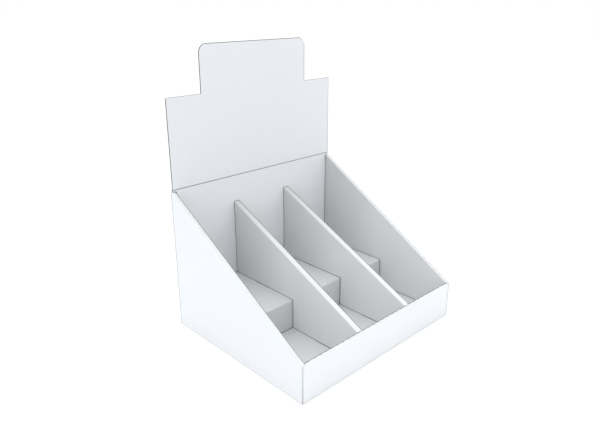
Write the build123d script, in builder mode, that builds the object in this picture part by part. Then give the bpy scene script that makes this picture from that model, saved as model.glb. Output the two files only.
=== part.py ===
"""White cardboard counter display: a folded tray, a header card, a stepped insert and two dividers.

Millimetres, +Z up. The origin is on the table, under the middle of the tray.
The open front faces -Y and the header stands at the back, on the +Y side.
"""
import os
from math import atan2, cos, sin

from build123d import *

# Outside of the folded tray
width = 200.0
depth = 170.6
front_height = 35.0
crease_height = 136.6  # the back wall ends here, and the header card is scored here

# Header card
header_height = 261.0
tab_height = 42.5  # from the shoulders to the top
tab_inset = 36.1
tab_corner = 8.0
card = 0.6
score_width = 1.0
score_depth = 0.2

# Board of the tray and the dividers
board = 3.1
fold_radius = 1.0
seam = 0.3  # gap where two cut edges of the tray butt

# Glue flaps, hidden under the step and behind the front wall
base_flap_height = 22.0
joint_flap_width = 20.0
joint_flap_drop = 6.0  # from the front wall's top down to the flap
flap_taper = 5.0

# Stepped insert
insert_board = 1.4
insert_fold = 0.2  # inside radius of its folds
riser_setback = 83.5  # from the tray's front to the face of the riser
shelf_height = 34.2

# Dividers, each one sheet folded over along its sloping top
divider_setting = (67.7, 133.1)  # from the tray's left side to each divider's left face
leaf_gap = 0.2
divider_front_height = 34.5
divider_rear_height = 110.6
locating_tab_length = 18.0
shelf_tab_depth = 6.0

fit = 0.3  # clearance of a loose piece to what stands beside it

# Places that the pieces share
front = -depth / 2
back = depth / 2
wall_front = front + board
wall_back = back - board
wall_side = width / 2 - board
shoulder_height = header_height - tab_height
card_front = wall_back - card
divider_thickness = 2 * board + leaf_gap
floor_height = board + insert_board
leg_back = card_front - fit
leg_front = leg_back - insert_board
riser_front = front + riser_setback
riser_back = riser_front + insert_board
floor_middle = (wall_front + riser_front) / 2
shelf_middle = (riser_back + wall_back) / 2
divider_middles = [setting - width / 2 + divider_thickness / 2 for setting in divider_setting]


def slope_height(y):
    """Height of a side wall's sloping top at a distance y along the tray."""
    return front_height + (crease_height - front_height) * (y - front) / depth


def block(x_range, y_range, z_range, mode=Mode.ADD):
    """A box between two places along each axis, in the current part."""
    low, high = zip(x_range, y_range, z_range)
    with Locations(low):
        Box(*(b - a for a, b in zip(low, high)), align=(Align.MIN,) * 3, mode=mode)


os.makedirs("parts", exist_ok=True)


# Display tray: one sheet, folded round the base and closed by a glue flap at the front right corner
with BuildPart() as display_tray:
    # Four walls, rounded where the sheet folds and square at the glued corner
    with BuildSketch():
        Rectangle(width, depth)
        folded_corners = [v for v in vertices() if v.X < 0 or v.Y > 0]
        fillet(folded_corners, fold_radius)
        Rectangle(width - 2 * board, depth - 2 * board, mode=Mode.SUBTRACT)
    extrude(amount=crease_height)

    # Side walls slope from the front wall up to the back wall
    with BuildSketch(Plane.YZ):
        with BuildLine():
            Polyline(
                (front, front_height),
                (wall_back, slope_height(wall_back)),
                (wall_back, crease_height),
                (front, crease_height),
                close=True,
            )
        make_face()
    extrude(amount=width / 2, both=True, mode=Mode.SUBTRACT)
    block((-wall_side, wall_side), (front, wall_front), (front_height, crease_height), Mode.SUBTRACT)

    # Base, folded back from the front wall
    block((-wall_side, wall_side), (wall_front, wall_back), (0, board))
    fillet(edges().filter_by(Axis.X).group_by(Axis.Z)[0].sort_by(Axis.Y)[0], fold_radius)

    # The base's side edges fold up under the step as glue flaps, and butt the walls elsewhere
    flap_front = riser_back + flap_taper
    flap_back = leg_front - fit
    for flap_side in (-wall_side, wall_side - board):
        with BuildSketch(Plane.YZ.offset(flap_side)):
            with BuildLine():
                Polyline(
                    (flap_front, 0),
                    (flap_front, board),
                    (flap_front + flap_taper, base_flap_height),
                    (flap_back - flap_taper, base_flap_height),
                    (flap_back, board),
                    (flap_back, 0),
                    close=True,
                )
            make_face()
        extrude(amount=board)
    for slit_side in (-wall_side, wall_side - seam):
        block((slit_side, slit_side + seam), (wall_front, flap_front), (0, board), Mode.SUBTRACT)
    block((-wall_side, wall_side), (wall_back - seam, wall_back), (0, board), Mode.SUBTRACT)

    # The right wall's front edge folds in behind the front wall as the flap that closes the tray
    joint_flap_top = front_height - joint_flap_drop
    joint_flap_end = wall_side - joint_flap_width
    with BuildSketch(Plane.XZ.offset(-wall_front - board)):
        with BuildLine():
            Polyline(
                (wall_side, board + seam),
                (wall_side, joint_flap_top),
                (joint_flap_end, joint_flap_top - flap_taper),
                (joint_flap_end, board + seam + flap_taper),
                close=True,
            )
        make_face()
    extrude(amount=board)
    with BuildSketch():
        with BuildLine():
            Polyline(
                (width / 2, wall_front - seam),
                (width / 2, wall_front + seam),
                (width / 2 - fold_radius, wall_front),
                close=True,
            )
        make_face()
    extrude(amount=front_height, mode=Mode.SUBTRACT)

display_tray.part.label = "display_tray"
export_step(display_tray.part, "parts/display_tray.step")


# Header card: glued to the back wall's inside, and standing on above it as the header
with BuildPart() as header_card:
    ear_bottom = slope_height(wall_back)  # the header's ends rest on the side walls
    with BuildSketch(Plane.XZ.offset(-wall_back)):
        for card_width, bottom, top in (
            (2 * (wall_side - fit), board, ear_bottom),
            (width, ear_bottom, shoulder_height),
            (width - 2 * tab_inset, shoulder_height, header_height),
        ):
            with Locations((0, bottom)):
                Rectangle(card_width, top - bottom, align=(Align.CENTER, Align.MIN))
        fillet(vertices().group_by(Axis.Y)[-1], tab_corner)
    extrude(amount=card)

    # Score line at the back wall's top, where the header folds down for shipping
    with BuildSketch(Plane.YZ):
        with BuildLine():
            groove = ThreePointArc(
                (card_front, crease_height - score_width / 2),
                (card_front + score_depth, crease_height),
                (card_front, crease_height + score_width / 2),
            )
            Line(groove @ 1, groove @ 0)
        make_face()
    extrude(amount=width / 2, both=True, mode=Mode.SUBTRACT)

header_card.part.label = "header_card"
export_step(header_card.part, "parts/header_card.step")


# Stepped insert: floor, riser, shelf and rear leg, folded from one sheet
with BuildPart() as step_insert:
    with BuildSketch(Plane.YZ):
        with BuildLine():
            FilletPolyline(
                (wall_front + fit, floor_height),
                (riser_front, floor_height),
                (riser_front, shelf_height),
                (leg_back, shelf_height),
                (leg_back, board),
                radius=[insert_fold, insert_fold + insert_board, insert_fold + insert_board],
            )
            offset(amount=insert_board, side=Side.RIGHT)
        make_face()
    extrude(amount=wall_side - fit, both=True)

    # Slots that take the dividers' locating tabs
    slot_length = locating_tab_length + 2 * fit
    slot_width = divider_thickness + 2 * fit
    for middle in divider_middles:
        for tab_middle, top in ((floor_middle, floor_height), (shelf_middle, shelf_height)):
            with Locations((middle, tab_middle, top)):
                Box(
                    slot_width,
                    slot_length,
                    insert_board,
                    align=(Align.CENTER, Align.CENTER, Align.MAX),
                    mode=Mode.SUBTRACT,
                )

    # Notch that lets the floor drop past the tray's glue flap
    block(
        (wall_side - joint_flap_width - fit, width / 2),
        (front, wall_front + board + fit),
        (0, shelf_height),
        Mode.SUBTRACT,
    )

step_insert.part.label = "step_insert"
export_step(step_insert.part, "parts/step_insert.step")


# Dividers: one sheet folded over at the top, its foot cut to the step, with a tab through each level
def make_divider(name, middle):
    toe, heel = wall_front + fit, card_front - fit
    step = riser_front - fit
    top_angle = atan2(divider_rear_height - divider_front_height, heel - toe)
    fold_thickness = board / cos(top_angle)
    half_tab = locating_tab_length / 2
    with BuildPart() as divider:
        with BuildSketch(Plane.YZ.offset(middle)):
            with BuildLine():
                Polyline(
                    (toe, floor_height),
                    (floor_middle - half_tab, floor_height),
                    (floor_middle - half_tab, board),
                    (floor_middle + half_tab, board),
                    (floor_middle + half_tab, floor_height),
                    (step, floor_height),
                    (step, shelf_height),
                    (shelf_middle - half_tab, shelf_height),
                    (shelf_middle - half_tab, shelf_height - shelf_tab_depth),
                    (shelf_middle + half_tab, shelf_height - shelf_tab_depth),
                    (shelf_middle + half_tab, shelf_height),
                    (heel, shelf_height),
                    (heel, divider_rear_height),
                    (toe, divider_front_height),
                    close=True,
                )
            make_face()
        extrude(amount=divider_thickness / 2, both=True)
        top_edges = edges().filter_by(Axis((0, 0, 0), (0, cos(top_angle), sin(top_angle))))
        fillet(top_edges, fold_radius)

        # The two leaves lie against each other below the fold
        with BuildSketch(Plane.YZ.offset(middle)):
            with BuildLine():
                Polyline(
                    (toe, 0),
                    (heel, 0),
                    (heel, divider_rear_height - fold_thickness),
                    (toe, divider_front_height - fold_thickness),
                    close=True,
                )
            make_face()
        extrude(amount=leaf_gap / 2, both=True, mode=Mode.SUBTRACT)
    divider.part.label = name
    export_step(divider.part, f"parts/{name}.step")
    return divider


divider_left = make_divider("divider_left", divider_middles[0])
divider_right = make_divider("divider_right", divider_middles[1])
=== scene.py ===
"""Looks of the white cardboard counter display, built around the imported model.

Metres, +Z up. The origin is on the table under the middle of the tray, and the open front faces -Y.
The display's sizes are written in millimetres, and MM turns them into metres. The floor's size and
the camera's place are in metres.
"""
import math

import bmesh
import bpy
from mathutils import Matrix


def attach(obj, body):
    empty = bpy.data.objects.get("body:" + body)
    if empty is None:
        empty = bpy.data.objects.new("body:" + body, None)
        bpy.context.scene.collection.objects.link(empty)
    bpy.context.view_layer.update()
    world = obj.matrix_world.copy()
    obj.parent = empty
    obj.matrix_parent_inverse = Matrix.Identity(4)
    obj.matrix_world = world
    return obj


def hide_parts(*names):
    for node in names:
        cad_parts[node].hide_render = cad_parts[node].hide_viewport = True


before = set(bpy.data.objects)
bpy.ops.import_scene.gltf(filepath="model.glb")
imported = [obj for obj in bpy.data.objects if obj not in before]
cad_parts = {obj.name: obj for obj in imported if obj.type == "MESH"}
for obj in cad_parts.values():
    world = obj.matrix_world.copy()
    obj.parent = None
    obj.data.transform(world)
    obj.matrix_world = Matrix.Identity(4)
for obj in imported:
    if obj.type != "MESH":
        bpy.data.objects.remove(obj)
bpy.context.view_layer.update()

MM = 0.001

# Sizes of the display, as the source of the part has them
WIDTH, DEPTH = 200.0, 170.6
BOARD, CARD, INSERT_BOARD = 3.1, 0.6, 1.4
FRONT_HEIGHT, CREASE_HEIGHT = 35.0, 136.6
HEADER_HEIGHT, TAB_HEIGHT, TAB_INSET = 261.0, 42.5, 36.1
RISER_SETBACK, SHELF_HEIGHT = 83.5, 34.2
DIVIDER_SETTING = (67.7, 133.1)  # from the tray's left side to each divider's left face
LEAF_GAP = 0.2  # between a divider's two leaves
FIT = 0.3  # clearance of a loose piece to what stands beside it

# Places that follow from them
SIDE = WIDTH / 2
FRONT, BACK = -DEPTH / 2, DEPTH / 2
WALL_SIDE, WALL_FRONT, WALL_BACK = SIDE - BOARD, FRONT + BOARD, BACK - BOARD
CARD_FRONT = WALL_BACK - CARD
SHOULDER_HEIGHT, TAB_SIDE = HEADER_HEIGHT - TAB_HEIGHT, SIDE - TAB_INSET
FLOOR_HEIGHT, RISER_FRONT = BOARD + INSERT_BOARD, FRONT + RISER_SETBACK
DIVIDER_MIDDLES = [setting - SIDE + BOARD + LEAF_GAP / 2 for setting in DIVIDER_SETTING]

# Corrugated board of the tray and the dividers
FLUTE_PITCH = 6.5
LINER = 0.45
MEDIUM = 0.3
FLUTE_DEPTH = 0.3  # how deep the cut edge shows its flutes
FLUTE_INSET = 1.5  # from the end of a wall to its first hollow
FLUTE_SAMPLES = 15
LEAST_HOLLOW = 0.12  # where the medium comes this close to a liner, the hollow ends

# Mesh
WELD = 0.001
FLAT = math.radians(0.4)  # faces that lean less than this to each other are one flat face
SHARP = 40  # degrees from which an edge counts as sharp
CARD_SHARP = 25
TRAY_EASE, CARD_EASE = 0.2, 0.36  # how far the cut edges are eased
SAME = 0.02  # places closer than this are one
GROOVE_REACH = 0.6  # just over half the height of the score across the card


# Shapes


def slope_height(y):
    """Height of a side wall's sloping top at a distance y along the tray."""
    return FRONT_HEIGHT + (CREASE_HEIGHT - FRONT_HEIGHT) * (y - FRONT) / DEPTH


def whole_faces(node):
    """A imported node's mesh as a bmesh in millimetres, with each flat face in one piece."""
    bm = bmesh.new()
    bm.from_mesh(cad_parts[node].data)
    bmesh.ops.scale(bm, vec=(1 / MM,) * 3, verts=bm.verts)
    bmesh.ops.remove_doubles(bm, verts=bm.verts, dist=WELD)
    bmesh.ops.dissolve_limit(bm, angle_limit=FLAT, verts=bm.verts, edges=bm.edges)
    return bm


def soften(bm, radius, chosen, segments, clamp):
    """Rounds the sharp edges that are chosen by their two ends."""
    edges = [
        e
        for e in bm.edges
        if len(e.link_faces) == 2
        and e.calc_face_angle() > math.radians(SHARP)
        and chosen(e.verts[0].co, e.verts[1].co)
    ]
    bmesh.ops.bevel(
        bm,
        geom=edges,
        offset=radius,
        offset_type="OFFSET",
        segments=segments,
        profile=0.5,
        affect="EDGES",
        clamp_overlap=clamp,
    )


def flute_hollows(first, last):
    """Outlines of the hollows in a cut edge that runs from first to last.

    Each is a list of places (along, across). across counts from the outer liner's face inward.
    """
    reach = (BOARD - MEDIUM) / 2 - LINER
    turn = 2 * math.pi / FLUTE_PITCH
    outlines = []
    for half in range(math.ceil(2 * first / FLUTE_PITCH), math.floor(2 * last / FLUTE_PITCH) - 1):
        begin = half * FLUTE_PITCH / 2
        inner = half % 2 == 0  # between the medium and the inner liner
        liner = BOARD - LINER if inner else LINER
        curve = []
        for i in range(1, FLUTE_SAMPLES):
            along = begin + FLUTE_PITCH * i / FLUTE_SAMPLES
            middle = BOARD / 2 + reach * math.cos(turn * along)
            half_medium = MEDIUM / 2 * math.hypot(1, reach * turn * math.sin(turn * along))
            edge = middle + half_medium if inner else middle - half_medium
            if abs(liner - edge) > LEAST_HOLLOW and (edge < liner) == inner:
                curve.append((along, edge))
        outlines.append([(curve[0][0], liner), *curve, (curve[-1][0], liner)])
    return outlines


def hollow_cutter():
    """The hollows of the tray's four upper cut edges, as closed prisms."""
    bm = bmesh.new()

    def add(first, last, place, height):
        """Adds one edge's prisms. place gives x and y, and height the height of the edge at y."""
        for outline in flute_hollows(first, last):
            rings = []
            for lift in (-FLUTE_DEPTH, FLUTE_DEPTH):
                points = [place(along, across) for along, across in outline]
                rings.append([bm.verts.new((x, y, height(y) + lift)) for x, y in points])
            low, high = rings
            bm.faces.new(low)
            bm.faces.new(high)
            for i in range(len(low)):
                j = (i + 1) % len(low)
                bm.faces.new((low[i], low[j], high[j], high[i]))

    slope_end = CARD_FRONT - FLUTE_INSET
    level_end = WALL_SIDE - FLUTE_INSET
    add(WALL_FRONT, slope_end, lambda s, v: (v - SIDE, s), slope_height)
    add(WALL_FRONT, slope_end, lambda s, v: (SIDE - v, s), slope_height)
    add(-level_end, level_end, lambda s, v: (s, FRONT + v), lambda y: FRONT_HEIGHT)
    add(-level_end, level_end, lambda s, v: (s, BACK - v), lambda y: CREASE_HEIGHT)
    bmesh.ops.recalc_face_normals(bm, faces=bm.faces)
    return bm


def as_object(bm, name):
    """Puts the bmesh into the scene as an object, and frees it."""
    mesh = bpy.data.meshes.new(name)
    bm.to_mesh(mesh)
    bm.free()
    made = bpy.data.objects.new(name, mesh)
    bpy.context.scene.collection.objects.link(made)
    return made


def cut(bm, cutter):
    """The bmesh less the cutter. Both are used up."""
    body, tool = as_object(bm, "body"), as_object(cutter, "tool")
    boolean = body.modifiers.new("cut", "BOOLEAN")
    boolean.operation, boolean.solver, boolean.object = "DIFFERENCE", "EXACT", tool
    evaluated = body.evaluated_get(bpy.context.evaluated_depsgraph_get())
    made = bmesh.new()
    made.from_mesh(evaluated.to_mesh())
    evaluated.to_mesh_clear()
    for used in (body, tool):
        mesh = used.data
        bpy.data.objects.remove(used)
        bpy.data.meshes.remove(mesh)
    return made


def finish_piece(bm, name, node, materials, pick, sharp):
    """Turns the bmesh into a piece that stands for the node.

    pick gives the number of a face's material from the face's middle and normal.
    """
    for face in bm.faces:
        face.material_index = pick(face.calc_center_median(), face.normal)
        face.smooth = True
    bmesh.ops.scale(bm, vec=(MM,) * 3, verts=bm.verts)
    piece = as_object(bm, name)
    mesh = piece.data
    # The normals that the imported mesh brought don't fit the new edges
    if "custom_normal" in mesh.attributes:
        mesh.attributes.remove(mesh.attributes["custom_normal"])
    mesh.set_sharp_from_angle(angle=math.radians(sharp))
    # The wide faces keep their own normals, so that rounded edges don't tint them
    even = piece.modifiers.new("even_normals", "WEIGHTED_NORMAL")
    even.weight, even.keep_sharp = 100, True
    for material in materials:
        mesh.materials.append(material)
    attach(piece, "root")
    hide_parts(node)


# Materials

OUTER_WHITE = (0.92, 0.932, 0.943)
# INNER_WHITE, which the dividers share, and INSERT_WHITE are greyer than OUTER_WHITE: partly the
# plainer inner liner and insert board, partly painted shade of the bays
INNER_WHITE = (0.796, 0.802, 0.811)
INSERT_WHITE = (0.714, 0.72, 0.73)
CARD_WHITE = (0.82, 0.83, 0.844)
CUT_WHITE = (0.805, 0.817, 0.829)
CORE_GREY = (0.09, 0.092, 0.094)

# Paper: soft clouds and fine fibres, and how much they and the flutes raise the surface
CLOUD_SIZE, GRAIN_SIZE = 14.0, 0.7
FIBRE_STRETCH = (1.0, 1.0, 0.35)
GRAIN_RISE, FLUTE_RISE = 0.5, 1.2
BUMP_HEIGHT, BUMP_STRENGTH = 0.03, 0.35
CLOUD_ROUGHNESS = 0.04
SPECULAR = 0.25
INSERT_PITCH = 3.3  # flutes of the insert's thinner board
FACES_SIDE = 0.6  # a face whose normal has more than this along X faces to the side

# Widths of the lines
SOFT = 0.05  # half the width over which a line's edge fades
EDGE_BAND = 0.6  # width of the bands beside an edge, most of them painted shade where pieces meet
FOLD_LINE, CORNER_LINE, BACK_FOLD_LINE, FOOT_LINE = 0.8, 0.9, 1.6, 0.8
SIDE_RIM, FRONT_RIM = 0.3, 1.1  # the foot's line stays this close to the outside
MARGIN = 0.1  # how far a mask reaches past the face or edge that it follows
FRONT_PLY, LEFT_PLY, RIGHT_PLY, SEAM = 0.8, 0.4, 0.8, 0.3
CREASE_LINE, HEADER_END, TAB_END, TAB_TOP = 0.33, 0.75, 1.1, 0.55
TOP_CREASE = (1.9, 3.1)  # from a divider's middle to its folded top's crease
PAINTED_SHADE_REACH = 38.0  # half the length over which the painted shade greys the bays' sides


class Tree:
    """Short ways to add the nodes of a material or world."""

    def __init__(self, owner):
        owner.use_nodes = True
        self.tree = owner.node_tree
        self.tree.nodes.clear()

    def add(self, kind, inputs, **settings):
        """A node whose inputs are linked, where they are sockets, or set."""
        node = self.tree.nodes.new(kind)
        for key, value in settings.items():
            setattr(node, key, value)
        for key, value in inputs.items():
            if isinstance(value, bpy.types.NodeSocket):
                self.tree.links.new(value, node.inputs[key])
            else:
                node.inputs[key].default_value = value
        return node

    def math(self, operation, *values):
        """The result of a math node."""
        return self.add("ShaderNodeMath", dict(enumerate(values)), operation=operation).outputs[0]

    def split(self, vector):
        """The vector's three coordinates."""
        return self.add("ShaderNodeSeparateXYZ", {0: vector}).outputs

    def above(self, value, limit, soft=SOFT):
        """1 where value, in metres, is over limit, in millimetres, with a soft change."""
        ends = {"From Min": (limit - soft) * MM, "From Max": (limit + soft) * MM}
        return self.add("ShaderNodeMapRange", {"Value": value, **ends}, clamp=True).outputs[0]

    def below(self, value, limit):
        return self.math("SUBTRACT", 1.0, self.above(value, limit))

    def between(self, value, low, high):
        return self.every(self.above(value, low), self.below(value, high))

    def every(self, *masks):
        """1 where each of the masks is 1."""
        made = masks[0]
        for mask in masks[1:]:
            made = self.math("MULTIPLY", made, mask)
        return made

    def any(self, *masks):
        """1 where at least one of the masks is 1."""
        made = masks[0]
        for mask in masks[1:]:
            made = self.math("MAXIMUM", made, mask)
        return made

    def noise(self, vector, size, detail, roughness):
        """Noise from -1 to 1 whose grain is about size millimetres."""
        grain = {"Scale": 1 / (size * MM), "Detail": detail, "Roughness": roughness}
        fac = self.add("ShaderNodeTexNoise", {"Vector": vector, **grain}).outputs["Fac"]
        return self.math("MULTIPLY_ADD", fac, 2.0, -1.0)

    def seen(self):
        """1 for the rays by which the camera, gloss and glass see, and 0 for those that light."""
        path = self.add("ShaderNodeLightPath", {}).outputs
        return self.any(path["Is Camera Ray"], path["Is Glossy Ray"], path["Is Transmission Ray"])


def paper(name, colour, roughness, mottle, fibre, flutes=0.0, pitch=FLUTE_PITCH, lines=None):
    """White paper or board with darker lines, some of them painted shade.

    mottle, fibre and flutes are how much the clouds, the fibres and a washboard of the flutes
    change the colour. lines is a function of the tree that lists (mask, factor): where the mask
    is 1, the colour is times the factor.
    """
    material = bpy.data.materials.new(name)
    t = Tree(material)
    place = t.add("ShaderNodeTexCoord", {}).outputs["Object"]
    t.x, t.y, t.z = t.split(place)  # in metres, for the masks
    t.side = t.math("ABSOLUTE", t.x)

    # Fibres lie mostly along one way of the sheet
    stretched = t.add("ShaderNodeMapping", {"Vector": place, "Scale": FIBRE_STRETCH}).outputs[0]
    cloud = t.noise(place, CLOUD_SIZE, detail=3.0, roughness=0.5)
    grain = t.noise(stretched, GRAIN_SIZE, detail=4.0, roughness=0.65)
    tone = t.math("MULTIPLY_ADD", cloud, mottle, 1.0)
    tone = t.math("MULTIPLY_ADD", grain, fibre, tone)
    height = t.math("MULTIPLY", grain, GRAIN_RISE)

    if flutes:
        # The flutes stand upright, so they are counted along the face's own level direction
        true_normal = t.add("ShaderNodeNewGeometry", {}).outputs["True Normal"]
        faces_side = t.math("GREATER_THAN", t.math("ABSOLUTE", t.split(true_normal)[0]), FACES_SIDE)
        ways = {"Factor": faces_side, "A": t.x, "B": t.y}
        across = t.add("ShaderNodeMix", ways, data_type="FLOAT").outputs[0]
        wave = t.math("SINE", t.math("MULTIPLY", across, 2 * math.pi / (pitch * MM)))
        tone = t.math("MULTIPLY_ADD", wave, flutes, tone)
        height = t.math("MULTIPLY_ADD", wave, FLUTE_RISE, height)

    for mask, factor in lines(t) if lines else ():
        tone = t.math("MULTIPLY", tone, t.math("MULTIPLY_ADD", mask, factor - 1, 1.0))

    scaled = {0: colour, "Scale": tone}
    colours = t.add("ShaderNodeVectorMath", scaled, operation="SCALE").outputs[0]
    rough = t.math("MULTIPLY_ADD", cloud, CLOUD_ROUGHNESS, roughness)
    raised = {"Strength": BUMP_STRENGTH, "Distance": BUMP_HEIGHT * MM, "Height": height}
    bump = t.add("ShaderNodeBump", raised).outputs[0]
    surface = {
        "Base Color": colours,
        "Roughness": rough,
        "Specular IOR Level": SPECULAR,
        "Normal": bump,
    }
    shader = t.add("ShaderNodeBsdfPrincipled", surface).outputs[0]
    t.add("ShaderNodeOutputMaterial", {"Surface": shader})
    return material


def outer_lines(t):
    """Pressed lines at the upright folds and the glued corner, and painted shade along the foot on
    the table.
    """
    left_fold = t.every(t.below(t.x, FOLD_LINE - SIDE), t.below(t.y, FRONT + FOLD_LINE))
    right_corner = t.every(t.above(t.x, SIDE - CORNER_LINE), t.below(t.y, FRONT + CORNER_LINE))
    at_side = t.above(t.side, SIDE - BACK_FOLD_LINE)
    back_folds = t.every(at_side, t.above(t.y, BACK - BACK_FOLD_LINE))
    rim = t.any(
        t.above(t.side, SIDE - SIDE_RIM),
        t.below(t.y, FRONT + FRONT_RIM),
        t.above(t.y, BACK - SIDE_RIM),
    )
    foot = t.every(t.below(t.z, FOOT_LINE), rim)
    return [(left_fold, 0.55), (right_corner, 0.45), (back_folds, 0.5), (foot, 0.3)]


def painted_back_shade(t):
    """Painted shade: a faint greying of the bays' sides towards the back."""
    return [(t.above(t.y, CARD_FRONT - PAINTED_SHADE_REACH, soft=PAINTED_SHADE_REACH), 0.82)]


def foot_and_riser(t, step):
    """Masks of the painted shade lines above the floor and the shelf, and in front of the riser."""
    on_floor = t.every(t.below(t.y, step), t.below(t.z, FLOOR_HEIGHT + EDGE_BAND))
    on_shelf = t.every(t.above(t.y, step), t.below(t.z, SHELF_HEIGHT + EDGE_BAND))
    at_riser = t.every(t.between(t.y, step - EDGE_BAND, step), t.below(t.z, SHELF_HEIGHT))
    return t.any(on_floor, on_shelf), at_riser


def inner_lines(t):
    """Painted shade in lines where the insert meets the side walls, and the painted shade at the
    back.
    """
    foot, at_riser = foot_and_riser(t, RISER_FRONT)
    at_side = t.above(t.side, WALL_SIDE - MARGIN)
    return [(t.every(foot, at_side), 0.95), (t.every(at_riser, at_side), 0.8), *painted_back_shade(t)]


def strip_lines(t):
    """Grey plies of the liners in the tray's cut upper edge, painted shade on the front's top, and
    its end marks.
    """
    ply_start = WALL_FRONT - FRONT_PLY
    front_ply = t.every(t.below(t.side, WALL_SIDE), t.between(t.y, ply_start, WALL_FRONT + BOARD))
    left_ply = t.every(
        t.between(t.x, -WALL_SIDE - LEFT_PLY, -WALL_SIDE), t.between(t.y, WALL_FRONT, WALL_BACK)
    )
    right_ply = t.above(t.x, SIDE - RIGHT_PLY)
    # Painted shade: the front wall's top is a little darker than the other tops
    front_top_shade = t.below(t.y, ply_start)
    seams = t.every(t.between(t.side, WALL_SIDE - SEAM, WALL_SIDE + SEAM), t.below(t.y, WALL_FRONT))
    right_seam = t.every(seams, t.above(t.x, 0))
    plies = [(front_ply, 0.14), (left_ply, 0.08), (right_ply, 0.35)]
    return [*plies, (front_top_shade, 0.95), (seams, 0.35), (right_seam, 0.6)]


def card_lines(t):
    """Painted shade at the side walls, the score's line, partly pressed and partly painted shade,
    and the outline on the right and the top.
    """
    ends = t.every(t.above(t.side, WALL_SIDE - FIT - EDGE_BAND), t.below(t.z, slope_height(WALL_BACK)))
    crease = t.between(t.z, CREASE_HEIGHT - CREASE_LINE, CREASE_HEIGHT + CREASE_LINE)
    header_end = t.every(t.above(t.x, SIDE - HEADER_END), t.above(t.z, CREASE_HEIGHT))
    tab_end = t.every(t.above(t.x, TAB_SIDE - TAB_END), t.above(t.z, SHOULDER_HEIGHT))
    tab_top = t.above(t.z, HEADER_HEIGHT - TAB_TOP)
    return [(ends, 0.35), (crease, 0.2), (t.any(header_end, tab_end), 0.45), (tab_top, 0.45)]


def card_cut_lines(t):
    """The cut edge is lighter on the two shoulders."""
    return [(t.between(t.z, SHOULDER_HEIGHT - EDGE_BAND, SHOULDER_HEIGHT + MARGIN), 4.2)]


def insert_lines(t):
    """Painted shade on the insert at the side walls, and at the toe of the riser, which is partly
    the pinch of the inside fold.
    """
    ends = t.above(t.side, WALL_SIDE - FIT - EDGE_BAND)
    at_toe = t.between(t.y, RISER_FRONT - EDGE_BAND, RISER_FRONT + MARGIN)
    toe = t.every(at_toe, t.below(t.z, FLOOR_HEIGHT + EDGE_BAND))
    return [(ends, 0.32), (toe, 0.5)]


def divider_lines(t):
    """Painted shade at the foot, the step, the heel and the back, and the crease on the right of
    the folded top.
    """
    foot, at_riser = foot_and_riser(t, RISER_FRONT - FIT)
    heel = t.above(t.y, CARD_FRONT - FIT - EDGE_BAND)
    low, high = TOP_CREASE
    crease = t.any(*(t.between(t.x, middle + low, middle + high) for middle in DIVIDER_MIDDLES))
    return [(foot, 0.26), (at_riser, 0.2), (heel, 0.32), (crease, 0.3), *painted_back_shade(t)]


liner_outer = paper(
    "liner_outer",
    OUTER_WHITE,
    roughness=0.55,
    mottle=0.008,
    fibre=0.008,
    flutes=0.003,
    lines=outer_lines,
)
liner_inner = paper(
    "liner_inner",
    INNER_WHITE,
    roughness=0.75,
    mottle=0.01,
    fibre=0.012,
    flutes=0.003,
    lines=inner_lines,
)
cut_board = paper(
    "cut_board", CUT_WHITE, roughness=0.85, mottle=0.01, fibre=0.02, lines=strip_lines
)
flute_paper = paper("flute_paper", CUT_WHITE, roughness=0.85, mottle=0.01, fibre=0.02)
card_face = paper(
    "card_face", CARD_WHITE, roughness=0.6, mottle=0.008, fibre=0.008, lines=card_lines
)
card_cut = paper(
    "card_cut", CORE_GREY, roughness=0.85, mottle=0.02, fibre=0.05, lines=card_cut_lines
)
insert_face = paper(
    "insert_face",
    INSERT_WHITE,
    roughness=0.7,
    mottle=0.008,
    fibre=0.01,
    flutes=0.002,
    pitch=INSERT_PITCH,
    lines=insert_lines,
)
divider_face = paper(
    "divider_face",
    INNER_WHITE,
    roughness=0.7,
    mottle=0.01,
    fibre=0.012,
    flutes=0.003,
    lines=divider_lines,
)


# Pieces

OUTER, INNER, CUT, FLUTE = range(4)  # places of the tray's materials in its list
FACE, EDGE = range(2)  # and of the card's
SKIN = 1.1  # a face this close to the outside is on the outer liner, rounded folds too
IN_BOARD = 0.1  # a face this far in from both liners' faces is inside the board
HOLLOWS_START = 20.0  # the tray shows hollows only above this height
UPWARD, FACING = 0.3, 0.9  # how far a normal leans up, or to the front or back


def tray_material(place, normal):
    """Which of the tray's materials a face has, by its middle and normal."""
    side = abs(place.x)
    if place.y > WALL_BACK:
        top = CREASE_HEIGHT
    else:
        top = slope_height(place.y) if side > WALL_SIDE else FRONT_HEIGHT
    in_wall = side > WALL_SIDE or place.y < WALL_FRONT or place.y > WALL_BACK
    if in_wall and place.z > top - TRAY_EASE and normal.z > UPWARD:
        return CUT
    inward = min(SIDE - side, place.y - FRONT, BACK - place.y)
    if in_wall and place.z > HOLLOWS_START and IN_BOARD < inward < BOARD - IN_BOARD:
        return FLUTE
    return OUTER if inward < SKIN or place.z < SKIN else INNER


def card_material(place, normal):
    """Which of the card's materials a face has, by its middle and normal."""
    in_groove = abs(place.z - CREASE_HEIGHT) < GROOVE_REACH
    return FACE if abs(normal.y) > FACING or in_groove else EDGE


def near(value, *goals):
    """Whether the value is one of the goals."""
    return any(abs(value - goal) < SAME for goal in goals)


def on_top(p):
    """Whether a place is on one of the tray's upper edges."""
    return near(p.z, FRONT_HEIGHT, CREASE_HEIGHT, slope_height(p.y)) and p.z > FRONT_HEIGHT - SAME


def tray_edge(a, b):
    """The tray's upper edges, its foot, and its square front corner."""
    upper = on_top(a) and on_top(b)
    foot = all(near(p.z, 0) and (near(abs(p.x), SIDE) or near(p.y, BACK)) for p in (a, b))
    corner = all(near(p.x, SIDE) and near(p.y, FRONT) for p in (a, b))
    return upper or foot or corner


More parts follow.
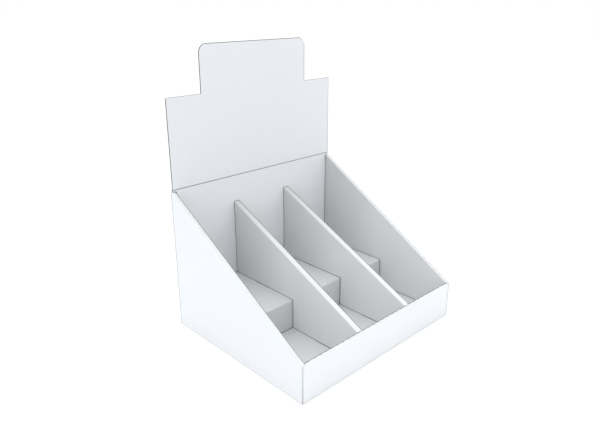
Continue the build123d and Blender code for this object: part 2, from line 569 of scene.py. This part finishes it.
def card_rim(a, b):
    """The card's outline on its front."""
    in_groove = all(abs(p.z - CREASE_HEIGHT) < GROOVE_REACH for p in (a, b))
    return near(a.y, CARD_FRONT) and near(b.y, CARD_FRONT) and not in_groove


bm = whole_faces("display_tray")
soften(bm, TRAY_EASE, tray_edge, segments=2, clamp=True)
finish_piece(
    cut(bm, hollow_cutter()),
    "tray_sheet",
    "display_tray",
    [liner_outer, liner_inner, cut_board, flute_paper],
    tray_material,
    SHARP,
)

bm = whole_faces("header_card")
soften(bm, CARD_EASE, card_rim, segments=1, clamp=False)
finish_piece(
    bm,
    "header_sheet",
    "header_card",
    [card_face, card_cut],
    card_material,
    CARD_SHARP,
)

for node, material in (
    ("step_insert", insert_face),
    ("divider_left", divider_face),
    ("divider_right", divider_face),
):
    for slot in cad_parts[node].material_slots:
        slot.material = material


# Floor, light and camera

FLOOR_SIZE = 8.0
FLOOR_WHITE = (0.88, 0.895, 0.91, 1)
FLOOR_GLOW, GLOW_SHARE = 1.04, 0.78  # the white that is seen, and its share over the lit floor
SKY_WHITE = (0.986, 1.0, 1.014, 1)
SKY_LOW, SKY_RISE = 0.265, 1.557  # strength at the horizon, and what it gains overhead
SKY_TILT, SKY_TURN = 1.13, 2.57  # lean to the front at the horizon, and how fast it turns over
CAMERA_PLACE = (-0.36094, -0.35374, 0.29822)
CAMERA_PITCH, CAMERA_YAW = 20.425, 43.867
LENS, SENSOR = 35.0, 36.0

scene = bpy.context.scene
scene.view_settings.view_transform = "Standard"

bpy.ops.mesh.primitive_plane_add(size=FLOOR_SIZE)
floor = bpy.context.object
floor.name = "floor"
material = bpy.data.materials.new("floor_white")
floor.data.materials.append(material)
t = Tree(material)
seen = t.seen()
plain = t.add("ShaderNodeBsdfDiffuse", {"Color": FLOOR_WHITE}).outputs[0]
glow = t.add("ShaderNodeEmission", {"Strength": FLOOR_GLOW}).outputs[0]
share = t.math("MULTIPLY", seen, GLOW_SHARE)
mixed = t.add("ShaderNodeMixShader", {0: share, 1: plain, 2: glow}).outputs[0]
t.add("ShaderNodeOutputMaterial", {"Surface": mixed})

# A soft sky, brightest overhead. High up it is brighter behind, and low down in front, by the
# amounts that light the display's four sides alike. The camera, gloss and glass see plain white.
world = bpy.data.worlds.new("studio")
scene.world = world
t = Tree(world)
direction = t.add("ShaderNodeTexCoord", {}).outputs["Generated"]
_, along, height = t.split(direction)
level = t.math("MULTIPLY_ADD", height, SKY_RISE, SKY_LOW)
tilt = t.math("MULTIPLY", along, t.math("MULTIPLY_ADD", height, SKY_TURN, -1.0))
level = t.math("MAXIMUM", t.math("MULTIPLY_ADD", tilt, SKY_TILT, level), 0.0)
soft = t.add("ShaderNodeBackground", {"Color": SKY_WHITE, "Strength": level}).outputs[0]
white = t.add("ShaderNodeBackground", {"Color": (1, 1, 1, 1), "Strength": 1.0}).outputs[0]
mixed = t.add("ShaderNodeMixShader", {0: t.seen(), 1: soft, 2: white}).outputs[0]
t.add("ShaderNodeOutputWorld", {"Surface": mixed})

camera = bpy.data.objects.new("camera", bpy.data.cameras.new("camera"))
scene.collection.objects.link(camera)
scene.camera = camera
camera.data.lens = LENS
camera.data.sensor_width = SENSOR
camera.location = CAMERA_PLACE
camera.rotation_euler = (math.radians(90 - CAMERA_PITCH), 0.0, math.radians(-CAMERA_YAW))
